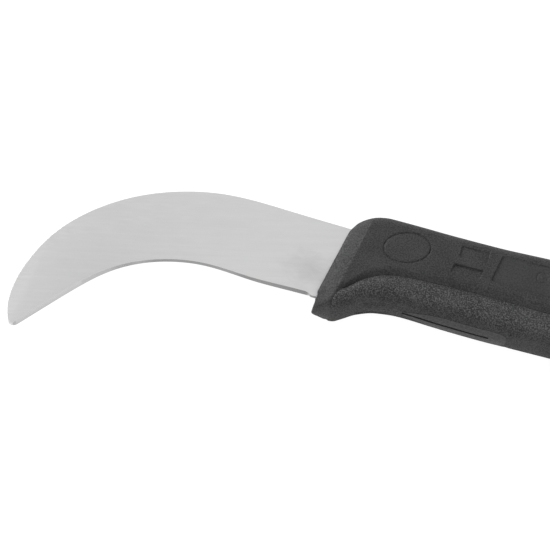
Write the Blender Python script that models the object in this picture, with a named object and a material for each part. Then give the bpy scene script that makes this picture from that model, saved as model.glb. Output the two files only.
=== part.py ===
"""Fixed-blade hook knife: sickle-shaped blade with a full-length tang, two moulded
handle shells clamped on it by three rivets, and a grained grip saddle over the
lower half of the handle.

Design frame, in millimetres: x runs along the handle from the front of the
handle (x = 0) towards the butt, the blade is on the -x side; y points to the
back of the knife, the cutting edge faces -y; z is the thickness, z = 0 is the
middle plane of the blade.  The finished model is moved so that its origin is
the centre of the underside of its bounding box, lying flat on its right side.
"""

import math

import bpy
import numpy as np

# ---------------------------------------------------------------- dimensions
MM = 0.001

# Handle
HANDLE_LENGTH = 123.0      # front plane to butt
HALF_THICK = 9.0           # half of the handle's thickness
SEAM = 0.15                # each shell stops this far from the middle plane
FRONT_SLOPE = 0.232        # slope of the front face (13 degrees)
FRONT_ZERO_Y = -12.7       # height at which the front face crosses x = 0
FRONT_FADE = (15.0, 60.0)  # stations over which the slope fades out
LIP, LIP_Y = 0.57, (-13.2, -14.9)        # small step back below the blade's heel
CHIN, CHIN_Y = 0.095, -15.15             # the chin under it leans the other way
CHIN_FADE = (1.0, 6.0)
BUTT_LEAN = -0.10          # slope of the butt, which grows over the last stations
BUTT_LEAN_FROM = 80.0
BUTT_PIVOT_Y = -13.8
FRONT_HALF_TOP = 1.75      # half thickness of the front edge at its top
FRONT_HALF_CHIN = 3.65     # and at the chin
SHOULDER_RUN = 5.2         # length of the sloping front shoulder
BUTT_ROUND = 11.0          # length of the rounding at the butt
BUTT_SHRINK = 0.46         # how much the butt rounding draws the outline in
CORNER_Y, CORNER_Z0 = 4.6, 2.6   # back edge rounding: height, flat half width
VALLEY_DEPTH = 1.25        # groove between the flat panel and the grip roll
BELLY_HALF_FLAT = 4.0      # half width of the nearly flat belly
BELLY_CROWN = 0.3

# Back line, belly line and valley line of the handle: station, height
BACK = ((0.0, 8.3), (0.45, 9.35), (1.2, 10.7), (2.8, 11.85), (4.7, 12.55),
        (6.8, 13.25), (9.5, 13.6), (16.0, 13.5), (30.0, 13.2), (46.0, 13.05),
        (62.0, 13.45), (84.0, 14.2), (104.0, 15.0), (116.0, 15.2), (123.0, 15.0))
BELLY = ((0.0, -18.3), (0.3, -18.6), (0.9, -18.6), (2.4, -18.4), (4.0, -18.3),
         (5.2, -18.35), (6.2, -18.5), (7.4, -18.35), (9.0, -17.4), (12.5, -14.8),
         (17.5, -12.9), (24.0, -12.25), (36.0, -12.8), (51.0, -13.25), (70.0, -13.25),
         (86.0, -13.2), (98.0, -14.0), (107.0, -16.2), (114.0, -18.4), (119.0, -19.2),
         (123.0, -19.3))
VALLEY = ((0.0, -12.9), (4.5, -12.6), (6.5, -12.1), (8.0, -10.5), (10.7, -7.7),
          (14.3, -5.65), (18.5, -4.5), (28.0, -4.0), (42.0, -3.9),
          (57.0, -4.2), (72.0, -4.7), (88.0, -5.2), (98.0, -6.2),
          (104.0, -8.4), (108.0, -11.4), (116.0, -14.0), (123.0, -14.5))

# Grip saddle
GRIP_THICK = 2.0
GAP = 0.3                  # clearance between neighbouring pieces
GRIP_EDGE_GAP = 0.8        # width of the groove round the saddle's edge
GRIP_REAR = 108.0          # station where its top corner is at the rear

# Belly window in the grip saddle, where the shells' seam shows
LENS_START, LENS_FULL, LENS_END = 24.8, 38.0, 55.5
LENS_NOSE, LENS_HALF = 0.9, 5.0
# Narrow slot in the shells along their seam inside the window
SLOT_X, SLOT_HALF, SLOT_TOP = (26.2, 50.3), 0.65, -11.2

# Recesses in the flat side panels
OVAL_CENTRE, OVAL_AXES, OVAL_TILT, OVAL_DEPTH = (21.6, 4.1), (6.75, 4.5), 16.8, 0.35
UPPER_SLOT = ((36.9, 8.7), (45.0, 8.8), (44.9, 5.9), (36.6, 5.5))
LOWER_SLOT = ((35.8, 3.0), (44.3, 2.9), (43.7, 0.2), (35.2, 0.1))
UPPER_SLOT_DEPTH, LOWER_SLOT_DEPTH = 0.45, 0.7
PANEL = ((48.8, 8.9), (95.0, 9.6), (95.0, -0.6), (46.9, 0.6))
PANEL_DEPTH = 0.5

# Blade
BLADE_THICK = 1.6
EDGE_FLAT = 0.05           # half of the edge's own thickness
BEVEL_HEEL, BEVEL_MID, BEVEL_TIP = 0.80, 0.48, 1.05
HEEL_X = -1.6              # the sharpened edge starts here
BLADE_ROOT_Y = (8.4, -14.1)
# Knots of the spine and of the edge, from the handle to the tip
SPINE = ((0.0, 8.75), (-12.0, 9.25), (-23.0, 9.7), (-32.0, 9.45), (-42.0, 7.75),
         (-52.0, 4.45), (-62.0, -0.8), (-70.5, -7.5), (-76.8, -14.75),
         (-81.2, -23.05), (-83.8, -31.65), (-84.2, -37.0), (-83.3, -41.8),
         (-82.4, -43.8))
EDGE = ((HEEL_X, -14.05), (-9.0, -14.0), (-18.5, -13.85), (-27.0, -13.2),
        (-34.0, -13.05), (-42.0, -14.15), (-50.5, -16.95), (-58.7, -21.7),
        (-66.4, -28.7), (-73.5, -36.5), (-79.9, -43.7))
TIP_CORNER = (-81.5, -45.3)

# Tang, hidden in the handle
TANG_TOP, TANG_END = 3.6, 92.0
TANG_UNDER = 4.3           # distance from the belly line up to the tang

# Rivets: name, x, y
RIVETS = (("rivet_front", 9.9, -10.5), ("rivet_middle", 44.0, -6.9),
          ("rivet_rear", 80.0, -7.6))
RIVET_R, RIVET_HEAD_R, RIVET_HALF, RIVET_HEAD_T = 1.5, 2.3, 5.0, 1.1

# Mesh fineness
N_CURVE = 36


# ------------------------------------------------------------------- helpers
def smoothstep(x, lo, hi):
    t = np.clip((np.asarray(x, float) - lo) / (hi - lo), 0.0, 1.0)
    return t * t * (3.0 - 2.0 * t)


def monotone(table):
    """Monotone cubic (Fritsch-Carlson) through (station, value) pairs."""
    xs = np.array([p[0] for p in table], float)
    ys = np.array([p[1] for p in table], float)
    h = np.diff(xs)
    d = np.diff(ys) / h
    m = np.zeros(len(xs))
    m[0], m[-1] = d[0], d[-1]
    for i in range(1, len(xs) - 1):
        if d[i - 1] * d[i] > 0:
            w1, w2 = 2 * h[i] + h[i - 1], h[i] + 2 * h[i - 1]
            m[i] = (w1 + w2) / (w1 / d[i - 1] + w2 / d[i])

    def value(x):
        x = np.clip(np.asarray(x, float), xs[0], xs[-1])
        i = np.clip(np.searchsorted(xs, x) - 1, 0, len(h) - 1)
        t = (x - xs[i]) / h[i]
        return ((2 * t**3 - 3 * t**2 + 1) * ys[i] + (t**3 - 2 * t**2 + t) * h[i] * m[i]
                + (-2 * t**3 + 3 * t**2) * ys[i + 1] + (t**3 - t**2) * h[i] * m[i + 1])

    return value


def natural_spline(points, count):
    """Natural cubic spline by chord length through the points, evenly sampled."""
    p = np.array(points, float)
    t = np.concatenate([[0.0], np.cumsum(np.linalg.norm(np.diff(p, axis=0), axis=1))])
    n = len(p)
    h = np.diff(t)
    a = np.eye(n)
    b = np.zeros((n, 2))
    for i in range(1, n - 1):
        a[i, i - 1], a[i, i], a[i, i + 1] = h[i - 1], 2 * (h[i - 1] + h[i]), h[i]
        b[i] = 6 * ((p[i + 1] - p[i]) / h[i] - (p[i] - p[i - 1]) / h[i - 1])
    m = np.linalg.solve(a, b)
    out = []
    for u in np.linspace(0.0, t[-1], count):
        i = min(int(np.searchsorted(t, u, side="right")) - 1, n - 2)
        e, f = t[i + 1] - u, u - t[i]
        out.append(m[i] * e**3 / (6 * h[i]) + m[i + 1] * f**3 / (6 * h[i])
                   + (p[i] / h[i] - m[i] * h[i] / 6) * e
                   + (p[i + 1] / h[i] - m[i + 1] * h[i] / 6) * f)
    return np.array(out)


def bezier(p0, p1, p2, p3, t):
    u = 1.0 - t
    return (u**3 * np.array(p0, float) + 3 * u * u * t * np.array(p1, float)
            + 3 * u * t * t * np.array(p2, float) + t**3 * np.array(p3, float))


back_line, belly_line, valley_line = monotone(BACK), monotone(BELLY), monotone(VALLEY)


def thickness_factor(s, y):
    """Half thickness relative to the full one: shoulder in front, rounding at the butt.

    The shoulder's front edge is thin at the top and thicker towards the chin."""
    u = float(np.clip(s / SHOULDER_RUN, 0.0, 1.0))
    low = float(np.clip((7.0 - y) / 22.0, 0.0, 1.0))
    start = (FRONT_HALF_TOP + (FRONT_HALF_CHIN - FRONT_HALF_TOP) * low) / HALF_THICK
    return (start + (1.0 - start) * (1.0 - (1.0 - u) ** 1.45)) * butt_factor(s, 0.40)


def butt_factor(s, amount=BUTT_SHRINK):
    u = float(np.clip((s - (HANDLE_LENGTH - BUTT_ROUND)) / BUTT_ROUND, 0.0, 1.0))
    return 1.0 - amount * (1.0 - math.sqrt(max(0.0, 1.0 - u * u)))


def half_section(s, q):
    """(y, z) on the handle's outer half section at station s.

    q runs from -1 at the middle of the back, through 0 at the valley between
    the flat panel and the grip roll, to 1 at the middle of the belly."""
    yt, yb, yv = float(back_line(s)), float(belly_line(s)), float(valley_line(s))
    depth = VALLEY_DEPTH * float(smoothstep(s, 4.0, 9.0)) * float(1 - smoothstep(s, 104.0, 112.0))
    zv = HALF_THICK - depth
    full = HALF_THICK
    y_panel_top = yt - CORNER_Y
    y_panel_low = yv + 0.36 * (yv - yb)
    y_crest = yv - 0.4 * (yv - yb)
    if q <= -0.92:
        t = (q + 1.0) / 0.08
        y, z = yt - 0.18 * t * t, CORNER_Z0 * t
    elif q <= -0.6:
        t = (q + 0.92) / 0.32
        y, z = bezier((yt - 0.18, CORNER_Z0), (yt - 0.4, CORNER_Z0 + 3.4),
                      (y_panel_top + 2.3, full), (y_panel_top, full), t)
    elif q <= -0.25:
        t = (q + 0.6) / 0.35
        y, z = y_panel_top + (y_panel_low - y_panel_top) * t, full
    elif q <= 0.0:
        t = (q + 0.25) / 0.25
        run = y_panel_low - yv
        y, z = bezier((y_panel_low, full), (y_panel_low - 0.45 * run, full),
                      (yv + 0.3 * run, zv + 0.35 * depth), (yv, zv), t)
    elif q <= 0.25:
        t = q / 0.25
        run = yv - y_crest
        y, z = bezier((yv, zv), (yv - 0.25 * run, zv + 0.62 * depth),
                      (y_crest + 0.4 * run, full), (y_crest, full), t)
    elif q <= 0.8:
        t = (q - 0.25) / 0.55
        run = y_crest - yb - BELLY_CROWN
        y, z = bezier((y_crest, full), (y_crest - 0.58 * run, full),
                      (yb + BELLY_CROWN, BELLY_HALF_FLAT + 0.55 * (full - BELLY_HALF_FLAT)),
                      (yb + BELLY_CROWN, BELLY_HALF_FLAT), t)
    else:
        t = (1.0 - q) / 0.2
        y, z = yb + BELLY_CROWN * t * t, BELLY_HALF_FLAT * t
    middle = 0.5 * (yt + yb)
    return middle + (y - middle) * butt_factor(s), z


def front_offset(s, y):
    """How far the sloping front face moves a point at height y along x."""
    upper = FRONT_SLOPE * (y - FRONT_ZERO_Y)
    lip = LIP * float(smoothstep(-y, -LIP_Y[0], -LIP_Y[1])) + CHIN * max(0.0, CHIN_Y - y)
    return (upper * float(1.0 - smoothstep(s, *FRONT_FADE))
            + lip * float(1.0 - smoothstep(s, *CHIN_FADE)))


def surface_point(s, q, seam=0.0):
    """Point of the handle's outer surface on the +z side."""
    y, z = half_section(s, q)
    factor = thickness_factor(s, y)
    full = HALF_THICK * factor
    z = seam + (full - seam) * (z * factor / full)
    butt = BUTT_LEAN * float(smoothstep(s, BUTT_LEAN_FROM, HANDLE_LENGTH)) * (y - BUTT_PIVOT_Y)
    return np.array([s + front_offset(s, y) + butt, y, z])


# ------------------------------------------------------------ mesh and objects
MATERIALS = {}


def material(name, rgb, rough, metal):
    m = bpy.data.materials.new(name)
    m.use_nodes = True
    bsdf = m.node_tree.nodes["Principled BSDF"]
    bsdf.inputs["Base Color"].default_value = (*rgb, 1.0)
    bsdf.inputs["Roughness"].default_value = rough
    bsdf.inputs["Metallic"].default_value = metal
    m.diffuse_color = (*rgb, 1.0)
    MATERIALS[name] = m
    return m


def new_object(name, verts, faces, mat=None, smooth=True, sharp=30.0, origin=(0, 0, 0)):
    """Object from points in millimetres of the design frame, its own origin at `origin`."""
    origin = np.array(origin, float)
    # four-sided faces of the lofts are not flat, so they are split into triangles
    faces = [t for f in faces for t in ([f] if len(f) != 4 else [f[:3], (f[0], f[2], f[3])])]
    mesh = bpy.data.meshes.new(name)
    mesh.from_pydata([tuple((np.array(v, float) - origin) * MM) for v in verts], [],
                     [tuple(int(i) for i in f) for f in faces])
    mesh.validate()
    ob = bpy.data.objects.new(name, mesh)
    ob.location = tuple(origin * MM)
    bpy.context.scene.collection.objects.link(ob)
    if mat is not None:
        mesh.materials.append(mat)
    if smooth:
        mesh.shade_smooth()
        mesh.set_sharp_from_angle(angle=math.radians(sharp))
    return ob


def flipped(faces):
    return [tuple(reversed(f)) for f in faces]


def grid_faces(rows, cols, at=0):
    """Quads of a rows x cols point grid stored row by row."""
    return [(at + r * cols + c, at + r * cols + c + 1,
             at + (r + 1) * cols + c + 1, at + (r + 1) * cols + c)
            for r in range(rows - 1) for c in range(cols - 1)]


def volume_of(verts, faces):
    v = np.array(verts, float)
    total = 0.0
    for f in faces:
        a = v[f[0]]
        for i in range(1, len(f) - 1):
            total += float(np.dot(a, np.cross(v[f[i]], v[f[i + 1]])))
    return total / 6.0


def outward(verts, faces):
    return faces if volume_of(verts, faces) > 0 else flipped(faces)


def prism(outline, z0, z1):
    """Closed prism over an outline in x and y."""
    n = len(outline)
    verts = [(x, y, z0) for x, y in outline] + [(x, y, z1) for x, y in outline]
    faces = [tuple(range(n)), tuple(range(2 * n - 1, n - 1, -1))]
    faces += [(i, n + i, n + (i + 1) % n, (i + 1) % n) for i in range(n)]
    return verts, outward(verts, faces)


def disc(cx, cy, r, z0, z1, count=24):
    ring = [(cx + r * math.cos(2 * math.pi * i / count),
             cy + r * math.sin(2 * math.pi * i / count)) for i in range(count)]
    return prism(ring, z0, z1)


def joined(parts):
    """Several closed shapes as one list of points and faces."""
    verts, faces = [], []
    for v, f in parts:
        at = len(verts)
        verts += list(v)
        faces += [tuple(i + at for i in face) for face in f]
    return verts, faces


def mirrored(shape):
    verts, faces = shape
    return [(v[0], v[1], -v[2]) for v in verts], flipped(faces)


def cutter(name, shape):
    ob = new_object(name, shape[0], shape[1], smooth=False)
    ob.hide_render = True
    ob.display_type = "WIRE"
    return ob


def cut(ob, tool, operation="DIFFERENCE"):
    mod = ob.modifiers.new(tool.name, "BOOLEAN")
    mod.operation = operation
    mod.object = tool
    mod.solver = "MANIFOLD"
    return mod


def rounded_polygon(corners, radius, steps=4):
    out = []
    n = len(corners)
    for i in range(n):
        p = np.array(corners[i], float)
        a = np.array(corners[i - 1], float) - p
        b = np.array(corners[(i + 1) % n], float) - p
        a, b = a / np.linalg.norm(a), b / np.linalg.norm(b)
        cosine = float(np.dot(a, b))
        half = 0.5 * math.acos(max(-1.0, min(1.0, cosine)))
        reach = radius / math.tan(half)
        centre = p + (a + b) / np.linalg.norm(a + b) * (radius / math.sin(half))
        v0, v1 = p + a * reach - centre, p + b * reach - centre
        for k in range(steps + 1):
            t = k / steps
            v = v0 * (1 - t) + v1 * t
            v = v / np.linalg.norm(v) * radius
            out.append(tuple(centre + v))
    return out


# --------------------------------------------------------------------- shells
def shell_stations():
    front = [0.0, 0.35, 0.9, 1.7, 2.7, 3.8, 4.7, 5.4, 6.4, 7.6, 9.0, 10.6, 12.4,
             14.6, 17.4, 21.0, 26.0]
    middle = list(np.linspace(34.0, 94.0, 8))
    rear = [99.0, 103.5, 107.5, 110.5]
    butt = [HANDLE_LENGTH - BUTT_ROUND * (1 - math.sin(a))
            for a in np.radians(np.linspace(10.0, 90.0, 7))]
    return front + middle + rear + butt


def shell_columns():
    return ([-1.0, -0.92] + list(np.linspace(-0.84, -0.6, 4)) + [-0.42, -0.25, -0.17, -0.08, 0.0,
             0.09, 0.17, 0.25] + list(np.linspace(0.36, 0.8, 6)) + [0.9, 1.0])


def half_body():
    """Closed half of the handle without any cut, on the +z side."""
    stations, columns = shell_stations(), shell_columns()
    rows, cols = len(stations), len(columns)
    verts = [surface_point(s, q, SEAM) for s in stations for q in columns]
    faces = grid_faces(rows, cols)
    for r in range(rows - 1):
        faces.append((r * cols + cols - 1, r * cols, (r + 1) * cols, (r + 1) * cols + cols - 1))
    faces.append(tuple(range(cols))[::-1])
    faces.append(tuple((rows - 1) * cols + c for c in range(cols)))
    return verts, outward(verts, faces)


# ---------------------------------------------------------------- grip saddle
def grip_start(q):
    return 4.3 + 2.3 * (1 - q) ** 5 + 2.3 * q**1.6


def grip_end(q):
    return GRIP_REAR + 2.4 * math.sin(0.5 * math.pi * min(1.0, 1.25 * q))


def grip_rows(q):
    """Stations of the saddle's grid along one q line."""
    a, b = grip_start(q), grip_end(q)
    ts = [0.0, 0.007, 0.016, 0.03, 0.055, 0.085, 0.12, 0.16, 0.22] + list(np.linspace(0.30, 0.90, 9)) + [
        0.945, 0.975, 1.0]
    return [a + (b - a) * t for t in ts]


def grip_columns():
    return [0.0, 0.03, 0.07, 0.12, 0.19, 0.26] + list(np.linspace(0.36, 0.8, 6)) + [0.9, 1.0]


def surface_normal(s, q):
    """Outward unit normal of the handle's surface on the +z side."""
    ds, dq = 0.02, 0.002
    s0, s1 = max(0.0, s - ds), min(HANDLE_LENGTH, s + ds)
    q0, q1 = (q, q + dq) if q < 0.5 else (q - dq, q)
    along = surface_point(s1, q) - surface_point(s0, q)
    around = surface_point(s, q1) - surface_point(s, q0)
    n = np.cross(around, along)
    n = n / np.linalg.norm(n)
    if q > 0.999:
        n = np.array([n[0], n[1], 0.0]) / math.hypot(n[0], n[1])
    return n


def grip_grid():
    """Outer surface points of the saddle, row by row from the +z valley round the
    belly to the -z valley, and the outward normal at each."""
    half = grip_columns()
    lines = [(q, 1.0) for q in half] + [(q, -1.0) for q in half[-2::-1]]
    grid = np.array([[surface_point(s, q) * (1, 1, side) for s in grip_rows(q)]
                     for q, side in lines]).transpose(1, 0, 2)
    normal = np.array([[surface_normal(s, q) * (1, 1, side) for s in grip_rows(q)]
                       for q, side in lines]).transpose(1, 0, 2)
    return grid, normal


def rim_of(rows, cols):
    """Grid places along the border, once round."""
    return ([(0, c) for c in range(cols)] + [(r, cols - 1) for r in range(1, rows)]
            + [(rows - 1, c) for c in range(cols - 2, -1, -1)]
            + [(r, 0) for r in range(rows - 2, 0, -1)])


def widened(grid, normal, amount):
    """The grid with its border moved outwards in the surface."""
    g = grid.copy()
    rim = rim_of(*grid.shape[:2])
    for i, (r, c) in enumerate(rim):
        before, after = grid[rim[i - 1]], grid[rim[(i + 1) % len(rim)]]
        out = np.cross(after - before, normal[r, c])
        out = out / np.linalg.norm(out)
        inner = grid[min(max(r, 3), grid.shape[0] - 4), min(max(c, 2), grid.shape[1] - 3)]
        if np.dot(out, grid[r, c] - inner) < 0:
            out = -out
        g[r, c] += amount * out
    return g


def thick_grid(outer, inner):
    rows, cols = outer.shape[:2]
    n = rows * cols
    verts = list(outer.reshape(-1, 3)) + list(inner.reshape(-1, 3))
    faces = grid_faces(rows, cols) + flipped(grid_faces(rows, cols, n))
    rim = [r * cols + c for r, c in rim_of(rows, cols)]
    for i, a in enumerate(rim):
        b = rim[(i + 1) % len(rim)]
        faces.append((b, a, n + a, n + b))
    return verts, outward(verts, faces)


def grip_solid():
    grid, normal = grip_grid()
    outer = grid.copy()
    # the rim rolls in a little, which makes the dark line around the grip
    for sl in (np.s_[0, :], np.s_[-1, :], np.s_[:, 0], np.s_[:, -1]):
        outer[sl] = outer[sl] - 0.55 * normal[sl]
    # the rim wall is drafted
    return thick_grid(outer, widened(grid, normal, -0.45) - GRIP_THICK * normal)


def grip_rebate():
    """Room for the saddle in the shells, with its clearance."""
    grid, normal = grip_grid()
    wide = widened(grid, normal, GRIP_EDGE_GAP)
    return thick_grid(wide + 1.6 * normal, wide - (GRIP_THICK + 0.1 + GAP) * normal)


def lens(extra):
    """Belly window outline in x and z as a prism through the belly only."""
    half = LENS_HALF + extra
    top = []
    for i in range(13):
        t = i / 12
        x = (LENS_START - extra) + (LENS_FULL - LENS_START + extra) * t
        nose = LENS_NOSE + extra
        top.append((x, nose + (half - nose) * math.sin(0.5 * math.pi * t)))
    radius = 3.0
    for i in range(1, 7):
        a = math.radians(90.0 * (1 - i / 6))
        top.append((LENS_END + extra - radius + radius * math.cos(a),
                    half - radius + radius * math.sin(a)))
    outline = top + [(x, -z) for x, z in reversed(top)]
    verts, faces = prism(outline, -30.0, -8.6)
    turned = [(v[0], v[2], v[1]) for v in verts]
    return turned, outward(turned, faces)


# ----------------------------------------------------------------- side panels
def panel_recesses():
    z1 = HALF_THICK + 1.5
    ax, ay = OVAL_AXES
    tilt = math.radians(OVAL_TILT)
    oval = []
    for i in range(32):
        a = 2 * math.pi * i / 32
        u, v = ax * math.cos(a), ay * math.sin(a)
        oval.append((OVAL_CENTRE[0] + u * math.cos(tilt) - v * math.sin(tilt),
                     OVAL_CENTRE[1] + u * math.sin(tilt) + v * math.cos(tilt)))
    return joined([
        prism(oval, HALF_THICK - OVAL_DEPTH, z1),
        prism(rounded_polygon(UPPER_SLOT, 0.5), HALF_THICK - UPPER_SLOT_DEPTH, z1),
        prism(rounded_polygon(LOWER_SLOT, 0.5), HALF_THICK - LOWER_SLOT_DEPTH, z1),
        prism(rounded_polygon(PANEL, 1.2), HALF_THICK - PANEL_DEPTH, z1),
    ])


# ----------------------------------------------------------------------- blade
def tang_outline():
    """The blade inside the handle: from under the heel, round the tang's end, to the spine."""
    xs = np.linspace(14.0, TANG_END - 4.0, 14)
    low = [(x, float(belly_line(x)) + TANG_UNDER) for x in xs]
    middle, half = 0.5 * (TANG_TOP + low[-1][1]), 0.5 * (TANG_TOP - low[-1][1])
    end = [(TANG_END - 4.0 + 4.0 * math.sin(a), middle - half * math.cos(a))
           for a in np.radians(np.linspace(15.0, 165.0, 9))]
    heel = [(0.0, BLADE_ROOT_Y[1]), (3.4, BLADE_ROOT_Y[1]), (4.4, BLADE_ROOT_Y[1] + 0.6),
            (6.0, BLADE_ROOT_Y[1] + 2.6)]
    top = [(TANG_END - 4.0, TANG_TOP), (16.0, TANG_TOP), (13.6, TANG_TOP + 0.7), (12.2, 6.0),
           (11.4, 7.6), (10.4, 8.35)]
    return heel + low + end + top


def offset_outline(points, amount):
    """Open outline moved to its right-hand side, which is outwards for this one."""
    p = np.array(points, float)
    d = np.diff(p, axis=0)
    d /= np.linalg.norm(d, axis=1, keepdims=True)
    side = np.stack([d[:, 1], -d[:, 0]], axis=1)
    out = [p[0] + side[0] * amount]
    for i in range(1, len(p) - 1):
        both = side[i - 1] + side[i]
        both /= np.linalg.norm(both)
        out.append(p[i] + both * amount / max(0.6, float(np.dot(both, side[i]))))
    out.append(p[-1] + side[-1] * amount)
    return [tuple(v) for v in out]


def blade_outline():
    """Outline points, counter-clockwise from the heel, and the bevel width at each."""
    spine = natural_spline(SPINE, 2 * N_CURVE)
    edge = natural_spline(EDGE, 2 * N_CURVE)
    tip = [tuple(bezier(edge[-1], edge[-1] + (np.array(TIP_CORNER) - edge[-1]) * 0.55,
                        spine[-1] + (np.array(TIP_CORNER) - spine[-1]) * 0.55, spine[-1], t))
           for t in (0.2, 0.4, 0.6, 0.8)]
    points, bevel = [], []
    for p in tang_outline():
        points.append(p)
        bevel.append(0.0)
    for p in spine:
        points.append(tuple(p))
        bevel.append(0.0)
    for i, p in enumerate(reversed(tip)):
        points.append(p)
        bevel.append(BEVEL_TIP * (i + 1) / (len(tip) + 1))
    for i, p in enumerate(edge[::-1]):
        t = i / (len(edge) - 1)          # 0 at the tip, 1 at the heel
        w = BEVEL_TIP + (BEVEL_MID - BEVEL_TIP) * float(smoothstep(t, 0.20, 0.50))
        w = w + (BEVEL_HEEL - BEVEL_MID) * float(smoothstep(t, 0.66, 0.94))
        if t > 0.97:
            w = w * (1.0 - (t - 0.97) / 0.03)
        points.append(tuple(p))
        bevel.append(w)
    return points, bevel


def blade_solid():
    points, bevel = blade_outline()
    p = np.array(points, float)
    n = len(p)
    tangent = np.roll(p, -1, axis=0) - np.roll(p, 1, axis=0)
    tangent /= np.linalg.norm(tangent, axis=1, keepdims=True)
    inward = np.stack([-tangent[:, 1], tangent[:, 0]], axis=1)
    area = 0.5 * float(np.sum(p[:, 0] * np.roll(p[:, 1], -1) - np.roll(p[:, 0], -1) * p[:, 1]))
    if area < 0:
        inward = -inward
    face = p + inward * np.array(bevel)[:, None]
    h = 0.5 * BLADE_THICK
    rings = [(face, h), (p, EDGE_FLAT), (p, -EDGE_FLAT), (face, -h)]
    verts = [(x, y, z) for ring, z in rings for x, y in ring]
    faces = [tuple(range(n)), tuple(range(4 * n - 1, 3 * n - 1, -1))]
    for k in range(3):
        for i in range(n):
            j = (i + 1) % n
            faces.append((k * n + j, k * n + i, (k + 1) * n + i, (k + 1) * n + j))
    return verts, outward(verts, faces)


def tang_room():
    """Clearance around the blade's root and tang inside the shells."""
    h = 0.5 * BLADE_THICK + GAP
    room = offset_outline([(-9.0, BLADE_ROOT_Y[1])] + tang_outline()
                          + [(0.0, SPINE[0][1] + 0.02), (-9.0, SPINE[0][1] + 0.5)], GAP)
    return prism(room, -h, h)


def turned(profile, x=0.0, y=0.0, count=24):
    """Closed solid turned about a line along z through (x, y): radius, height pairs."""
    verts = [(x + r * math.cos(2 * math.pi * i / count), y + r * math.sin(2 * math.pi * i / count), z)
             for r, z in profile for i in range(count)]
    faces = [tuple(range(count))[::-1], tuple((len(profile) - 1) * count + i for i in range(count))]
    for k in range(len(profile) - 1):
        for i in range(count):
            j = (i + 1) % count
            faces.append((k * count + i, k * count + j, (k + 1) * count + j, (k + 1) * count + i))
    return verts, outward(verts, faces)


def rivet_solid(x, y):
    c = 0.35
    under = RIVET_HALF - RIVET_HEAD_T
    return turned([(RIVET_HEAD_R - c, -RIVET_HALF), (RIVET_HEAD_R, -RIVET_HALF + c),
                   (RIVET_HEAD_R, -under), (RIVET_R, -under), (RIVET_R, under),
                   (RIVET_HEAD_R, under), (RIVET_HEAD_R, RIVET_HALF - c),
                   (RIVET_HEAD_R - c, RIVET_HALF)], x, y)


def rivet_room(x, y):
    """Shank hole and head counterbore in one shell."""
    step = RIVET_HALF - RIVET_HEAD_T - GAP
    return turned([(RIVET_R + GAP, -2.0), (RIVET_R + GAP, step),
                   (RIVET_HEAD_R + GAP, step), (RIVET_HEAD_R + GAP, 12.0)], x, y)


# ----------------------------------------------------------------------- build
def main():
    for ob in list(bpy.data.objects):
        bpy.data.objects.remove(ob, do_unlink=True)

    steel = material("blade_steel", (0.56, 0.56, 0.57), 0.32, 1.0)
    shell = material("shell_plastic", (0.055, 0.055, 0.058), 0.55, 0.0)
    grip = material("grip_plastic", (0.045, 0.045, 0.047), 0.75, 0.0)
    rivet = material("rivet_steel", (0.45, 0.45, 0.46), 0.45, 1.0)

    root = bpy.data.objects.new("hook_knife", None)
    bpy.context.scene.collection.objects.link(root)

    parts = []

    # room for the grip saddle, with an island left standing for the belly window
    rebate = cutter("room_grip", grip_rebate())
    island = cutter("room_grip_island", lens(-GAP))
    cut(rebate, island)
    window = cutter("cut_belly_window", lens(0.0))
    tang = cutter("room_tang", tang_room())

    slot = cutter("cut_belly_slot", prism(
        [(SLOT_X[0], -30.0), (SLOT_X[1], -30.0), (SLOT_X[1], SLOT_TOP), (SLOT_X[0], SLOT_TOP)],
        -SLOT_HALF, SLOT_HALF))

    for name, side in (("body_shell_left", 1.0), ("body_shell_right", -1.0)):
        shape = half_body()
        recesses = panel_recesses()
        holes = joined([rivet_room(x, y) for _, x, y in RIVETS])
        if side < 0:
            shape, recesses, holes = mirrored(shape), mirrored(recesses), mirrored(holes)
        ob = new_object(name, shape[0], shape[1], shell, sharp=28.0)
        cut(ob, cutter("cut_recesses_" + name[11:], recesses))
        cut(ob, cutter("cut_rivet_holes_" + name[11:], holes))
        cut(ob, tang)
        cut(ob, rebate)
        cut(ob, slot)
        parts.append(ob)

    saddle = grip_solid()
    ob = new_object("grip_saddle", saddle[0], saddle[1], grip, sharp=35.0)
    cut(ob, window)
    parts.append(ob)

    blade = blade_solid()
    ob = new_object("blade", blade[0], blade[1], steel, sharp=20.0)
    cut(ob, cutter("cut_tang_holes",
                   joined([disc(x, y, RIVET_R + GAP, -3.0, 3.0) for _, x, y in RIVETS])))
    parts.append(ob)

    for name, x, y in RIVETS:
        verts, faces = rivet_solid(x, y)
        ob = new_object(name, verts, faces, rivet, origin=(x, y, 0.0))
        parts.append(ob)

    # origin: centre of the underside of the bounding box
    low, high = np.full(3, 1e9), np.full(3, -1e9)
    for ob in parts:
        if ob.name in ("blade", "body_shell_left", "body_shell_right"):
            pts = np.array([ob.matrix_basis @ v.co for v in ob.data.vertices])
            low, high = np.minimum(low, pts.min(0)), np.maximum(high, pts.max(0))
    shift = np.array([-(low[0] + high[0]) / 2, -(low[1] + high[1]) / 2, -low[2]])
    root.location = tuple(shift)
    for ob in bpy.data.objects:
        if ob is not root and ob.parent is None:
            ob.parent = root
    print("design frame to model frame, mm:", np.round(shift * 1000, 4))


main()
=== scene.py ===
"""Looks of the hook knife: finely meshed handle shells, grip saddle and ground
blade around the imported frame, with their materials, a plain pale floor, soft
studio light and the camera."""

import math

import bpy
import numpy as np
from mathutils import Matrix, Vector


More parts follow.
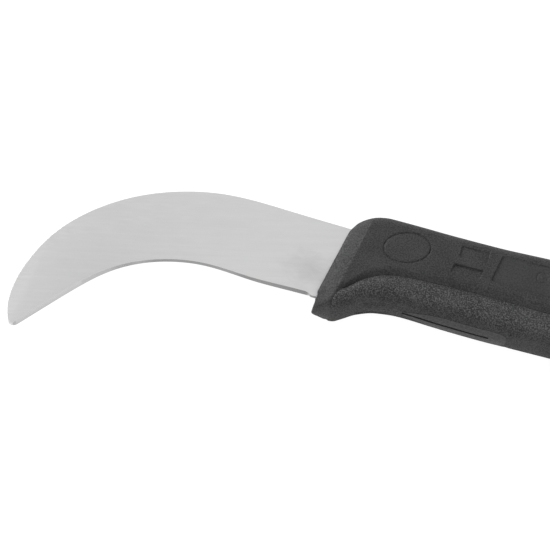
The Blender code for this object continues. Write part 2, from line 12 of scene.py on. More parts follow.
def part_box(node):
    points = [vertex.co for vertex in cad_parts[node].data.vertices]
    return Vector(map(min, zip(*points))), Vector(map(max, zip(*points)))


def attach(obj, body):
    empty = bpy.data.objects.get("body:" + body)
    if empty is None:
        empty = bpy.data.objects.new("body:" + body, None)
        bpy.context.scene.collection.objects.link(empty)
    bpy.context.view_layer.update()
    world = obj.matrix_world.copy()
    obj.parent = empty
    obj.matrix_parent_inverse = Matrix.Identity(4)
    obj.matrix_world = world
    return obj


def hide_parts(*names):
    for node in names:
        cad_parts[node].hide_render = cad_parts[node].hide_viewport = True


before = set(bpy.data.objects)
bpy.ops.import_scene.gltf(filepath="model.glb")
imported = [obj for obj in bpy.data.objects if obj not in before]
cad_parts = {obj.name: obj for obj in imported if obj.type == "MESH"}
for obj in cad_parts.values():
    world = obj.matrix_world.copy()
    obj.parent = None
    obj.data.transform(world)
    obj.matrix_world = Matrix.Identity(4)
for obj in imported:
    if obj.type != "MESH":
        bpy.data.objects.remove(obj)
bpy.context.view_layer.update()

# --------------------------------------------------------------------- design
# The same driving dimensions as the CAD, in millimetres of the design frame:
# x along the handle from its front, y towards the back, z through the thickness.
MM = 0.001
HANDLE_LENGTH, HALF_THICK, SEAM = 123.0, 9.0, 0.02
FRONT_SLOPE, FRONT_ZERO_Y, FRONT_FADE = 0.232, -12.70, (15.0, 60.0)
LIP, LIP_Y, CHIN, CHIN_Y, CHIN_FADE = 0.57, (-13.2, -14.9), 0.095, -15.15, (1.0, 6.0)
BUTT_LEAN, BUTT_LEAN_FROM, BUTT_PIVOT_Y = -0.10, 80.0, -13.8
FRONT_HALF_TOP, FRONT_HALF_CHIN, SHOULDER_RUN = 1.75, 3.65, 5.2
BUTT_ROUND, BUTT_SHRINK = 11.0, 0.46
CORNER_Y, CORNER_Z0 = 4.6, 2.6
VALLEY_DEPTH = 1.25
BELLY_HALF_FLAT, BELLY_CROWN = 4.0, 0.3
BACK = ((0.0, 8.3), (0.45, 9.35), (1.2, 10.7), (2.8, 11.83), (4.7, 12.55),
        (6.8, 13.24), (9.5, 13.6), (16.0, 13.51), (30.0, 13.18), (46.0, 13.05),
        (62.0, 13.45), (84.0, 14.2), (104.0, 15.0), (116.0, 15.2), (123.0, 15.0))
BELLY = ((0.0, -18.3), (0.3, -18.6), (0.9, -18.62), (2.4, -18.42), (4.0, -18.3),
         (5.2, -18.33), (6.2, -18.47), (7.4, -18.36), (9.0, -17.4), (12.5, -14.8),
         (17.5, -12.89), (24.0, -12.23), (36.0, -12.81), (51.0, -13.23), (70.0, -13.25),
         (86.0, -13.2), (98.0, -14.0), (107.0, -16.2), (114.0, -18.4), (119.0, -19.2),
         (123.0, -19.3))
VALLEY = ((0.0, -12.9), (4.5, -12.6), (6.5, -12.1), (8.0, -10.5), (10.7, -7.7),
          (14.3, -5.65), (18.5, -4.5), (28.0, -4.0), (42.0, -3.9),
          (57.0, -4.2), (72.0, -4.7), (88.0, -5.2), (98.0, -6.2),
          (104.0, -8.4), (108.0, -11.4), (116.0, -14.0), (123.0, -14.5))
GRIP_THICK, GRIP_REAR = 2.0, 108.0
LENS_START, LENS_FULL, LENS_END = 24.8, 38.0, 55.5
LENS_NOSE, LENS_HALF = 0.9, 5.0
SLOT_X, SLOT_HALF, SLOT_TOP = (24.6, 50.4), 0.62, -11.0
PAD_X, PAD_HALF = (11.4, 21.2), 5.0
OVAL_CENTRE, OVAL_AXES, OVAL_TILT = (21.6, 4.1), (6.75, 4.5), 16.8
UPPER_SLOT = ((36.9, 8.7), (45.0, 8.8), (44.9, 5.9), (36.6, 5.5))
LOWER_SLOT = ((35.8, 3.0), (44.3, 2.9), (43.7, 0.2), (35.2, 0.1))
PANEL = ((48.8, 8.9), (95.0, 9.6), (95.0, -0.6), (46.9, 0.6))
BLADE_THICK = 1.6
BEVEL_HEEL, BEVEL_MID, BEVEL_TIP, HEEL_X = 0.80, 0.48, 1.05, -1.6
BLADE_ROOT_Y = (8.4, -14.1)
SPINE = ((0.0, 8.73), (-12.0, 9.24), (-23.0, 9.71), (-32.0, 9.46), (-42.0, 7.75),
         (-52.0, 4.46), (-62.0, -0.8), (-70.5, -7.48), (-76.8, -14.76), (-81.2, -23.04),
         (-83.8, -31.65), (-84.2, -37.0), (-83.3, -41.8), (-82.4, -43.8))
EDGE = ((HEEL_X, -14.05), (-9.0, -14.02), (-18.5, -13.87), (-27.0, -13.2),
        (-34.0, -13.05), (-42.0, -14.17), (-50.55, -16.95), (-58.7, -21.68),
        (-66.35, -28.68), (-73.52, -36.52), (-79.92, -43.68))
TIP_CORNER = (-81.5, -45.3)
TANG_TOP, TANG_END, TANG_UNDER = 3.6, 92.0, 4.3
RIVETS = (("rivet_front", 9.9, -10.5), ("rivet_middle", 44.0, -6.9), ("rivet_rear", 80.0, -7.6))
RIVET_R, RIVET_HEAD_R, RIVET_HALF, RIVET_HEAD_T = 1.5, 2.3, 5.0, 1.1

# the design frame's place in the row frame comes from a CAD piece
_low, _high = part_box("rivet_middle")
ORIGIN = np.array([(_low[i] + _high[i]) / 2 for i in range(3)]) - np.array([44.0, -6.9, 0.0]) * MM


def smoothstep(x, lo, hi):
    t = np.clip((np.asarray(x, float) - lo) / (hi - lo), 0.0, 1.0)
    return t * t * (3.0 - 2.0 * t)


def monotone(table):
    xs = np.array([p[0] for p in table], float)
    ys = np.array([p[1] for p in table], float)
    h = np.diff(xs)
    d = np.diff(ys) / h
    m = np.zeros(len(xs))
    m[0], m[-1] = d[0], d[-1]
    for i in range(1, len(xs) - 1):
        if d[i - 1] * d[i] > 0:
            w1, w2 = 2 * h[i] + h[i - 1], h[i] + 2 * h[i - 1]
            m[i] = (w1 + w2) / (w1 / d[i - 1] + w2 / d[i])

    def value(x):
        x = np.clip(np.asarray(x, float), xs[0], xs[-1])
        i = np.clip(np.searchsorted(xs, x) - 1, 0, len(h) - 1)
        t = (x - xs[i]) / h[i]
        return ((2 * t**3 - 3 * t**2 + 1) * ys[i] + (t**3 - 2 * t**2 + t) * h[i] * m[i]
                + (-2 * t**3 + 3 * t**2) * ys[i + 1] + (t**3 - t**2) * h[i] * m[i + 1])

    return value


def natural_spline(points, count):
    p = np.array(points, float)
    t = np.concatenate([[0.0], np.cumsum(np.linalg.norm(np.diff(p, axis=0), axis=1))])
    n = len(p)
    h = np.diff(t)
    a = np.eye(n)
    b = np.zeros((n, 2))
    for i in range(1, n - 1):
        a[i, i - 1], a[i, i], a[i, i + 1] = h[i - 1], 2 * (h[i - 1] + h[i]), h[i]
        b[i] = 6 * ((p[i + 1] - p[i]) / h[i] - (p[i] - p[i - 1]) / h[i - 1])
    m = np.linalg.solve(a, b)
    out = []
    for u in np.linspace(0.0, t[-1], count):
        i = min(int(np.searchsorted(t, u, side="right")) - 1, n - 2)
        e, f = t[i + 1] - u, u - t[i]
        out.append(m[i] * e**3 / (6 * h[i]) + m[i + 1] * f**3 / (6 * h[i])
                   + (p[i] / h[i] - m[i] * h[i] / 6) * e
                   + (p[i + 1] / h[i] - m[i + 1] * h[i] / 6) * f)
    return np.array(out)


def bez(a, b, c, d, t):
    u = 1.0 - t
    return u**3 * a + 3 * u * u * t * b + 3 * u * t * t * c + t**3 * d


back_line, belly_line, valley_line = monotone(BACK), monotone(BELLY), monotone(VALLEY)


def butt_factor(s, amount=BUTT_SHRINK):
    u = np.clip((s - (HANDLE_LENGTH - BUTT_ROUND)) / BUTT_ROUND, 0.0, 1.0)
    return 1.0 - amount * (1.0 - np.sqrt(np.maximum(0.0, 1.0 - u * u)))


def front_offset(s, y):
    """Place of the leaning front face at height y, with the lip under the blade's heel."""
    upper = FRONT_SLOPE * (y - FRONT_ZERO_Y)
    lip = LIP * smoothstep(-y, -LIP_Y[0], -LIP_Y[1]) + CHIN * np.maximum(0.0, CHIN_Y - y)
    return upper * (1.0 - smoothstep(s, *FRONT_FADE)) + lip * (1.0 - smoothstep(s, *CHIN_FADE))


def thickness_factor(s, y):
    u = np.clip(s / SHOULDER_RUN, 0.0, 1.0)
    start = (FRONT_HALF_TOP + (FRONT_HALF_CHIN - FRONT_HALF_TOP) * np.clip((7.0 - y) / 22.0, 0.0, 1.0)) / HALF_THICK
    return (start + (1.0 - start) * (1.0 - (1.0 - u) ** 1.45)) * butt_factor(s, 0.40)


def surface(s, q, seam=0.0):
    """Points of the handle's outer surface on the +z side, for arrays of
    station s and girth q: -1 back, 0 valley, 1 middle of the belly."""
    s, q = np.broadcast_arrays(np.asarray(s, float), np.asarray(q, float))
    yt, yb, yv = back_line(s), belly_line(s), valley_line(s)
    depth = VALLEY_DEPTH * smoothstep(s, 3.2, 7.4) * (1 - smoothstep(s, 104.0, 112.0))
    full = HALF_THICK
    zv = full - depth
    top, low = yt - CORNER_Y, yv + 0.36 * (yv - yb)
    crest = yv - 0.4 * (yv - yb)
    y, z = np.zeros_like(s), np.zeros_like(s)

    t = np.clip((q + 1.0) / 0.08, 0, 1)
    k = q <= -0.92
    y[k], z[k] = (yt - 0.18 * t * t)[k], (CORNER_Z0 * t)[k]
    t = np.clip((q + 0.92) / 0.32, 0, 1)
    k = (q > -0.92) & (q <= -0.6)
    y[k] = bez(yt - 0.18, yt - 0.4, top + 2.3, top, t)[k]
    z[k] = bez(CORNER_Z0, CORNER_Z0 + 3.4, full, full, t)[k]
    t = np.clip((q + 0.6) / 0.35, 0, 1)
    k = (q > -0.6) & (q <= -0.25)
    y[k], z[k] = (top + (low - top) * t)[k], full
    t = np.clip((q + 0.25) / 0.25, 0, 1)
    k = (q > -0.25) & (q <= 0.0)
    run = low - yv
    y[k] = bez(low, low - 0.45 * run, yv + 0.3 * run, yv, t)[k]
    z[k] = bez(full, full, zv + 0.35 * depth, zv, t)[k]
    t = np.clip(q / 0.25, 0, 1)
    k = (q > 0.0) & (q <= 0.25)
    run = yv - crest
    y[k] = bez(yv, yv - 0.25 * run, crest + 0.4 * run, crest, t)[k]
    z[k] = bez(zv, zv + 0.62 * depth, full, full, t)[k]
    t = np.clip((q - 0.25) / 0.55, 0, 1)
    k = (q > 0.25) & (q <= 0.8)
    run = crest - yb - BELLY_CROWN
    y[k] = bez(crest, crest - 0.58 * run, yb + BELLY_CROWN, yb + BELLY_CROWN, t)[k]
    z[k] = bez(full, full, BELLY_HALF_FLAT + 0.55 * (full - BELLY_HALF_FLAT), BELLY_HALF_FLAT, t)[k]
    t = np.clip((1.0 - q) / 0.2, 0, 1)
    k = q > 0.8
    y[k], z[k] = (yb + BELLY_CROWN * t * t)[k], (BELLY_HALF_FLAT * t)[k]

    middle = 0.5 * (yt + yb)
    y = middle + (y - middle) * butt_factor(s)
    f = thickness_factor(s, y)
    z = z * f
    z = seam + (full * f - seam) * (z / (full * f))
    x = s + front_offset(s, y) + BUTT_LEAN * smoothstep(s, BUTT_LEAN_FROM, HANDLE_LENGTH) * (y - BUTT_PIVOT_Y)
    return np.stack([x, y, z], axis=-1)


def surface_normal(s, q):
    s, q = np.broadcast_arrays(np.asarray(s, float), np.asarray(q, float))
    ds, dq = 0.02, 0.002
    q0 = np.where(q < 0.5, q, q - dq)
    q1 = np.where(q < 0.5, q + dq, q)
    along = surface(np.minimum(s + ds, HANDLE_LENGTH), q) - surface(np.maximum(s - ds, 0.0), q)
    around = surface(s, q1) - surface(s, q0)
    n = np.cross(around, along)
    n[..., 2] = np.where(q > 0.999, 0.0, n[..., 2])
    return n / np.linalg.norm(n, axis=-1, keepdims=True)


# ----------------------------------------------------------------- mesh tools
def to_row(points):
    return np.asarray(points, float) * MM + ORIGIN


def make(name, verts, faces, smooth_angle=None):
    mesh = bpy.data.meshes.new(name)
    v = to_row(verts)
    mesh.from_pydata(v.tolist(), [], [tuple(int(i) for i in f) for f in faces])
    mesh.validate()
    mesh.update()
    ob = bpy.data.objects.new(name, mesh)
    bpy.context.scene.collection.objects.link(ob)
    if smooth_angle is not None:
        mesh.shade_smooth()
        mesh.set_sharp_from_angle(angle=math.radians(smooth_angle))
    return ob


def grid_faces(rows, cols, at=0):
    r, c = np.meshgrid(np.arange(rows - 1), np.arange(cols - 1), indexing="ij")
    a = at + r * cols + c
    return np.stack([a, a + 1, a + cols + 1, a + cols], axis=-1).reshape(-1, 4).tolist()


def volume_of(verts, faces):
    v = np.asarray(verts, float)
    total = 0.0
    for f in faces:
        a = v[f[0]]
        for i in range(1, len(f) - 1):
            b, c = v[f[i]], v[f[i + 1]]
            total += (a[0] * (b[1] * c[2] - b[2] * c[1]) + a[1] * (b[2] * c[0] - b[0] * c[2])
                      + a[2] * (b[0] * c[1] - b[1] * c[0]))
    return total


def outward(verts, faces):
    if volume_of(verts, faces) < 0:
        return [tuple(reversed(f)) for f in faces]
    return [tuple(f) for f in faces]


def prism(outline, z0, z1):
    n = len(outline)
    verts = [(x, y, z0) for x, y in outline] + [(x, y, z1) for x, y in outline]
    faces = [tuple(range(n)), tuple(range(2 * n - 1, n - 1, -1))]
    faces += [(i, n + i, n + (i + 1) % n, (i + 1) % n) for i in range(n)]
    return verts, outward(verts, faces)


def turned(profile, x, y, count=48):
    verts = [(x + r * math.cos(2 * math.pi * i / count), y + r * math.sin(2 * math.pi * i / count), z)
             for r, z in profile for i in range(count)]
    faces = [tuple(range(count))[::-1], tuple((len(profile) - 1) * count + i for i in range(count))]
    for k in range(len(profile) - 1):
        for i in range(count):
            j = (i + 1) % count
            faces.append((k * count + i, k * count + j, (k + 1) * count + j, (k + 1) * count + i))
    return verts, outward(verts, faces)


def mirrored(shape):
    return [(v[0], v[1], -v[2]) for v in shape[0]], [tuple(reversed(f)) for f in shape[1]]


def boolean(ob, tool, operation):
    mod = ob.modifiers.new("cut", "BOOLEAN")
    mod.operation, mod.object, mod.solver = operation, tool, "MANIFOLD"


def settle(ob, tools, smooth_angle):
    """Applies the object's modifiers and removes the tools."""
    bpy.context.view_layer.update()
    done = bpy.data.meshes.new_from_object(ob.evaluated_get(bpy.context.evaluated_depsgraph_get()))
    ob.modifiers.clear()
    old, ob.data = ob.data, done
    bpy.data.meshes.remove(old)
    done.name = ob.name
    for tool in tools:
        bpy.data.objects.remove(tool, do_unlink=True)
    done.shade_smooth()
    done.set_sharp_from_angle(angle=math.radians(smooth_angle))
    return ob


# --------------------------------------------------------- recesses as heights
def inside_of(polygon, x, y, soft):
    """Signed distance to a convex polygon, positive outside, corners rounded by soft."""
    p = np.array(polygon, float)
    centre = p.mean(axis=0)
    total = np.zeros_like(x)
    for i in range(len(p)):
        a, b = p[i], p[(i + 1) % len(p)]
        d = (b - a) / np.linalg.norm(b - a)
        n = np.array([d[1], -d[0]])
        if np.dot(n, centre - a) > 0:
            n = -n
        total += np.exp(np.clip(((x - a[0]) * n[0] + (y - a[1]) * n[1]) / soft, -60, 60))
    return soft * np.log(total)


def recess_depth(x, y):
    """How far the flat side panel is sunk at (x, y), in millimetres."""
    wall = 0.16
    d = inside_of(UPPER_SLOT, x, y, 0.10)
    depth = 0.42 * (1 - smoothstep(d, -wall, wall))
    # the lower recess is a ramp, deepest under its upper edge
    d = inside_of(LOWER_SLOT, x, y, 0.10)
    ramp = 0.14 + 0.62 * np.clip((y - 0.1) / 2.85, 0, 1) ** 1.2
    depth = np.maximum(depth, ramp * (1 - smoothstep(d, -wall, wall)))
    d = inside_of(PANEL, x, y, 0.30)
    depth = np.maximum(depth, 0.48 * (1 - smoothstep(d, -0.2, 0.2)))
    # plain oval outline: a fine groove
    a = math.radians(OVAL_TILT)
    u = (x - OVAL_CENTRE[0]) * math.cos(a) + (y - OVAL_CENTRE[1]) * math.sin(a)
    v = -(x - OVAL_CENTRE[0]) * math.sin(a) + (y - OVAL_CENTRE[1]) * math.cos(a)
    r = np.sqrt((u / OVAL_AXES[0]) ** 2 + (v / OVAL_AXES[1]) ** 2)
    grad = np.sqrt((u / OVAL_AXES[0] ** 2) ** 2 + (v / OVAL_AXES[1] ** 2) ** 2) / np.maximum(r, 1e-6)
    d = (r - 1.0) / np.maximum(grad, 1e-6)
    depth = np.maximum(depth, 0.36 * np.clip(1 - np.abs(d) / 0.30, 0, 1))
    # moulding gate mark in the middle of the large recess
    g = np.hypot(x - 61.0, y - 5.4)
    gate = 0.20 * np.exp(-((g - 1.5) / 0.20) ** 2) - 0.12 * (1 - smoothstep(g, 0.25, 0.6))
    return depth + gate


# --------------------------------------------------------------------- shells
def grip_start(q):
    q = np.clip(q, 0, 1)
    return 4.5 + 2.1 * (1 - q) ** 5 + 2.2 * q**1.6


def grip_end(q):
    q = np.clip(q, 0, 1)
    return GRIP_REAR + 2.4 * np.sin(0.5 * np.pi * np.minimum(1.0, 1.25 * q))


def spaced(a, b, step):
    return list(np.linspace(a, b, max(2, int(round(abs(b - a) / step)) + 1)))


def end_window(q):
    """Where the saddle's front end stands clear: not in the valley, not on the belly."""
    return smoothstep(q, -0.01, 0.10) * (1 - smoothstep(q, 0.50, 0.78))


def shell_mesh():
    """Closed half body on the +z side: fine outer surface with its recesses, and the
    rebate under the grip saddle as a real step."""
    edge = 0.04                          # width of the joint around the saddle
    q_wall = -0.001
    # rows in three bands: before, along and behind the saddle
    first = float(grip_start(0.0))
    before = spaced(0.0, first - edge, 0.16)
    along = ([first - edge + 0.03] + spaced(first + 0.15, 13.0, 0.25) + spaced(13.0, 62.0, 0.2)[1:]
             + spaced(62.0, 94.0, 0.5)[1:] + spaced(94.0, 96.0, 0.2)[1:] + spaced(96.0, 108.0, 0.5)[1:]
             + [GRIP_REAR + edge - 0.03])
    behind = spaced(GRIP_REAR + edge, HANDLE_LENGTH - BUTT_ROUND, 0.4) + [
        HANDLE_LENGTH - BUTT_ROUND * (1 - math.sin(a)) for a in np.radians(np.linspace(2.5, 90.0, 30))]
    rows = np.array(before + along + behind)
    band = np.array([0] * len(before) + [1] * len(along) + [2] * len(behind))
    cols = np.array([-1.0, -0.95] + list(np.linspace(-0.92, -0.6, 20)) + spaced(-0.6, -0.25, 0.0072)[1:]
                    + spaced(-0.25, q_wall, 0.013)[1:] + [q_wall + 0.0006] + [0.0, 0.03, 0.07, 0.12, 0.18, 0.25]
                    + list(np.linspace(0.25, 0.8, 16))[1:] + [0.84, 0.88, 0.92, 0.96, 1.0])
    S, Q = np.meshgrid(rows, cols, indexing="ij")
    B = np.broadcast_to(band[:, None], S.shape)
    # below the valley the three bands follow the saddle's slanting ends
    qq = np.clip(Q, 0, 1)
    a0, a1 = grip_start(qq) - edge, grip_end(qq) + edge
    r0, r1 = first - edge, GRIP_REAR + edge
    W = np.where(B == 0, S * a0 / r0,
                 np.where(B == 1, a0 + (S - r0) * (a1 - a0) / (r1 - r0),
                          a1 + (S - r1) * (HANDLE_LENGTH - a1) / (HANDLE_LENGTH - r1)))
    S = np.where(Q > 0, W, S)
    P = surface(S, Q, SEAM)
    N = surface_normal(S, Q)
    sunk = (B == 1) & (Q > q_wall + 0.0003)
    # the edge of the panel beside the groove is slightly rounded
    soft = 0.012 * np.clip(1 - (q_wall - Q) / 0.014, 0, 1) ** 2 * (Q <= q_wall + 0.0003) * (B == 1)
    # and the shells dip towards the front end of the saddle
    ahead = np.where((B == 0) & (Q > 0), a0 - S, 9.0)
    soft = soft + 0.50 * np.exp(-(ahead / 0.75) ** 2) * end_window(Q)
    P = P - N * (np.where(sunk, GRIP_THICK + 0.35, 0.0) + soft)[..., None]
    P[..., 2] = np.maximum(P[..., 2], SEAM)
    P[:, -1, 2] = SEAM
    flat = (Q > -0.62) & (Q < -0.2)
    P[..., 2] -= np.where(flat, recess_depth(P[..., 0], P[..., 1]), 0.0)
    n_r, n_c = S.shape
    verts = P.reshape(-1, 3)
    faces = grid_faces(n_r, n_c)
    for r in range(n_r - 1):
        faces.append((r * n_c + n_c - 1, r * n_c, (r + 1) * n_c, (r + 1) * n_c + n_c - 1))
    faces.append(tuple(range(n_c))[::-1])
    faces.append(tuple((n_r - 1) * n_c + c for c in range(n_c)))
    return verts.tolist(), outward(verts, faces)


def lens(extra):
    half = LENS_HALF + extra
    top = []
    for i in range(33):
        t = i / 32
        x = (LENS_START - extra) + (LENS_FULL - LENS_START + extra) * t
        nose = LENS_NOSE + extra
        top.append((x, nose + (half - nose) * math.sin(0.5 * math.pi * t)))
    radius = 3.0
    for i in range(1, 13):
        a = math.radians(90.0 * (1 - i / 12))
        top.append((LENS_END + extra - radius + radius * math.cos(a), half - radius + radius * math.sin(a)))
    outline = top + [(x, -z) for x, z in reversed(top)]
    verts, faces = prism(outline, -30.0, -8.6)
    turned_up = [(v[0], v[2], v[1]) for v in verts]
    return turned_up, outward(turned_up, faces)


def land_mesh():
    """Smooth land of the shells in the saddle's belly window, one half of it."""
    s = np.array(spaced(23.0, 58.0, 0.5))
    q = np.array(spaced(0.5, 0.8, 0.03) + spaced(0.8, 1.0, 0.02)[1:])
    S, Q = np.meshgrid(s, q, indexing="ij")
    P, N = surface(S, Q, SEAM), surface_normal(S, Q)
    outer, inner = P + 0.09 * N, P - 3.4 * N
    outer[:, -1, 2] = inner[:, -1, 2] = SEAM
    inner[..., 2] = np.maximum(inner[..., 2], SEAM)
    return thick(outer, inner)


def rim_of(rows, cols):
    return ([(0, c) for c in range(cols)] + [(r, cols - 1) for r in range(1, rows)]
            + [(rows - 1, c) for c in range(cols - 2, -1, -1)]
            + [(r, 0) for r in range(rows - 2, 0, -1)])


def thick(outer, inner):
    rows, cols = outer.shape[:2]
    n = rows * cols
    verts = np.concatenate([outer.reshape(-1, 3), inner.reshape(-1, 3)])
    faces = grid_faces(rows, cols) + [f[::-1] for f in grid_faces(rows, cols, n)]
    rim = [r * cols + c for r, c in rim_of(rows, cols)]
    for i, a in enumerate(rim):
        b = rim[(i + 1) % len(rim)]
        faces.append((b, a, n + a, n + b))
    return verts.tolist(), outward(verts, faces)


# --------------------------------------------------------------- grip saddle
def saddle_mesh():
    ease = 0.16       # how far in from its edge the saddle's surface rolls down
    q_half = np.array([0.0, 0.008, 0.018, 0.03, 0.045, 0.062, 0.08] + spaced(0.10, 0.8, 0.0145) + spaced(0.8, 1.0, 0.025)[1:])
    t_mm = ([0.0, 0.12, 0.26, 0.42, 0.6, 0.8, 1.0] + spaced(1.25, 103.0, 0.42))
    last = 104.0
    t_row = np.array(t_mm + [last - v for v in (0.8, 0.6, 0.42, 0.26, 0.12, 0.0)]) / last
    T, Q = np.meshgrid(t_row, q_half, indexing="ij")
    a, b = grip_start(Q), grip_end(Q)
    S = a + (b - a) * T
    P, N = surface(S, Q), surface_normal(S, Q)
    # distance to the nearest edge, along the surface
    step = np.linalg.norm(np.diff(P, axis=1), axis=2)
    from_valley = np.concatenate([np.zeros((len(t_row), 1)), np.cumsum(step, axis=1)], axis=1)
    length = b - a
    d = np.minimum(np.minimum(T * length, (1 - T) * length), from_valley)
    u = np.clip(d / ease, 0, 1)
    drop = 0.03 * (1 - np.sqrt(np.clip(1 - (1 - u) ** 2, 0, 1)))
    # its front end is rounded over
    u = np.clip(T * length / 1.3, 0, 1)
    drop = drop + 0.45 * (1 - np.sqrt(np.clip(1 - (1 - u) ** 2, 0, 1))) * end_window(Q)
    # the finger groove's flat pad ends in a soft crease on either side of the belly
    x, z = P[..., 0], P[..., 2]
    inside = np.minimum(PAD_HALF - z, np.minimum(x - PAD_X[0], PAD_X[1] - x))
    corner = 2.2      # rounded ends of the pad
    for end, way in ((PAD_X[0], 1.0), (PAD_X[1], -1.0)):
        cx, cz = end + way * corner, PAD_HALF - corner
        beyond = ((x - cx) * way < 0) & (z > cz)
        inside = np.where(beyond, corner - np.hypot(x - cx, z - cz), inside)
    step = 0.34 * smoothstep(inside, -0.35, 0.55)
    fade = smoothstep(inside, 0.8, 4.4)            # it comes back up in its middle
    drop = drop + np.where(Q > 0.5, step * (1 - fade), 0.0)
    # small pit at the window's rear corner
    drop = drop + np.where(Q > 0.5, 0.60 * np.exp(-((x - 56.2) ** 2 + (z - 5.5) ** 2) / 0.45**2), 0.0)
    outer = P - N * drop[..., None]
    inner = P - N * GRIP_THICK
    outer[:, -1, 2] = inner[:, -1, 2] = 0.0
    mirror = np.array([1.0, 1.0, -1.0])
    outer = np.concatenate([outer, outer[:, -2::-1] * mirror], axis=1)
    inner = np.concatenate([inner, inner[:, -2::-1] * mirror], axis=1)
    return thick(outer, inner)


# ---------------------------------------------------------------------- blade
def tang_outline():
    xs = np.linspace(14.0, TANG_END - 4.0, 14)
    low = [(x, float(belly_line(x)) + TANG_UNDER) for x in xs]
    middle, half = 0.5 * (TANG_TOP + low[-1][1]), 0.5 * (TANG_TOP - low[-1][1])
    end = [(TANG_END - 4.0 + 4.0 * math.sin(a), middle - half * math.cos(a))
           for a in np.radians(np.linspace(15.0, 165.0, 9))]
    heel = [(0.0, BLADE_ROOT_Y[1]), (3.4, BLADE_ROOT_Y[1]), (4.4, BLADE_ROOT_Y[1] + 0.6),
            (6.0, BLADE_ROOT_Y[1] + 2.6)]
    top = [(TANG_END - 4.0, TANG_TOP), (16.0, TANG_TOP), (13.6, TANG_TOP + 0.7), (12.2, 6.0),
           (11.4, 7.6), (10.4, 8.35)]
    return heel + low + end + top


def offset_outline(points, amount):
    p = np.array(points, float)
    d = np.diff(p, axis=0)
    d /= np.linalg.norm(d, axis=1, keepdims=True)
    side = np.stack([d[:, 1], -d[:, 0]], axis=1)
    out = [p[0] + side[0] * amount]
    for i in range(1, len(p) - 1):
        both = side[i - 1] + side[i]
        both /= np.linalg.norm(both)
        out.append(p[i] + both * amount / max(0.6, float(np.dot(both, side[i]))))
    out.append(p[-1] + side[-1] * amount)
    return [tuple(v) for v in out]


def blade_mesh():
    """Flat blade with a ground bevel on its concave edge and an eased spine.
    Returns the points, the faces and each face's kind: 0 flat side, 1 bevel, 2 other edge face, 3 edge line."""
    spine = natural_spline(SPINE, 260)
    edge = natural_spline(EDGE, 260)
    corner = np.array(TIP_CORNER)
    tip = [bez(edge[-1], edge[-1] + (corner - edge[-1]) * 0.55, spine[-1] + (corner - spine[-1]) * 0.55,
               spine[-1], t) for t in np.linspace(0, 1, 13)[1:-1]]
    points, bevel, ease = [], [], []
    for p in tang_outline():
        points.append(p); bevel.append(0.0); ease.append(0.0)
    for p in spine:
        points.append(tuple(p)); bevel.append(0.0); ease.append(0.05)
    for i, p in enumerate(reversed(tip)):
        t = (i + 1) / (len(tip) + 1)
        points.append(tuple(p)); bevel.append(BEVEL_TIP * t); ease.append(0.05 * (1 - t))
    for i, p in enumerate(edge[::-1]):
        t = i / (len(edge) - 1)
        w = BEVEL_TIP + (BEVEL_MID - BEVEL_TIP) * float(smoothstep(t, 0.20, 0.50))
        w = w + (BEVEL_HEEL - BEVEL_MID) * float(smoothstep(t, 0.66, 0.94))
        if t > 0.975:
            w *= max(0.0, 1.0 - ((t - 0.975) / 0.025) ** 2)
        points.append(tuple(p)); bevel.append(w); ease.append(0.0)
    p = np.array(points, float)
    bevel, ease = np.array(bevel), np.array(ease)
    n = len(p)
    tangent = np.roll(p, -1, axis=0) - np.roll(p, 1, axis=0)
    tangent /= np.linalg.norm(tangent, axis=1, keepdims=True)
    inward = np.stack([-tangent[:, 1], tangent[:, 0]], axis=1)
    area = 0.5 * float(np.sum(p[:, 0] * np.roll(p[:, 1], -1) - np.roll(p[:, 0], -1) * p[:, 1]))
    if area < 0:
        inward = -inward
    h = 0.5 * BLADE_THICK
    ground = np.maximum(bevel, 1e-6) > 1e-5
    rings = []
    # face line, shoulder of the bevel or of the eased edge, edge line
    in0 = np.where(ground, bevel, ease)
    rings.append((p + inward * in0[:, None], np.full(n, h)))
    in1 = np.where(ground, bevel - 0.05, ease * 0.35)
    z1 = np.where(ground, h - 0.012, h - ease * 0.35)
    rings.append((p + inward * np.maximum(in1, 0)[:, None], z1))
    rings.append((p, np.where(ground, 0.045, h - ease)))
    half = rings[:]
    for ring, z in reversed(half):
        rings.append((ring, -z))
    verts = [(x, y, zz) for ring, z in rings for (x, y), zz in zip(ring, z)]
    m = len(rings)
    faces = [tuple(range(n)), tuple(range(m * n - 1, (m - 1) * n - 1, -1))]
    kinds = [0, 0]
    for k in range(m - 1):
        for i in range(n):
            j = (i + 1) % n
            faces.append((k * n + j, k * n + i, (k + 1) * n + i, (k + 1) * n + j))
            on_edge = ground[i] and ground[j]
            kinds.append(1 if on_edge and k in (0, 1, 3, 4) else (3 if on_edge else 2))
    return verts, outward(verts, faces), kinds


# ------------------------------------------------------------------ materials
def node_material(name):
    m = bpy.data.materials.new(name)
    m.use_nodes = True
    nt = m.node_tree
    bsdf = nt.nodes["Principled BSDF"]
    coord = nt.nodes.new("ShaderNodeTexCoord")
    return m, nt, bsdf, coord.outputs["Object"]


def link(nt, a, b):
    nt.links.new(a, b)


def mapping(nt, coord, scale=(1, 1, 1), rotation=(0, 0, 0)):
    mp = nt.nodes.new("ShaderNodeMapping")
    mp.inputs["Scale"].default_value = scale
    mp.inputs["Rotation"].default_value = rotation
    link(nt, coord, mp.inputs["Vector"])
    return mp.outputs["Vector"]


def noise(nt, vector, scale, detail=2.0, rough=0.5, distortion=0.0):
    n = nt.nodes.new("ShaderNodeTexNoise")
    n.inputs["Scale"].default_value = scale
    n.inputs["Detail"].default_value = detail
    n.inputs["Roughness"].default_value = rough
    n.inputs["Distortion"].default_value = distortion
    link(nt, vector, n.inputs["Vector"])
    return n.outputs["Fac"]


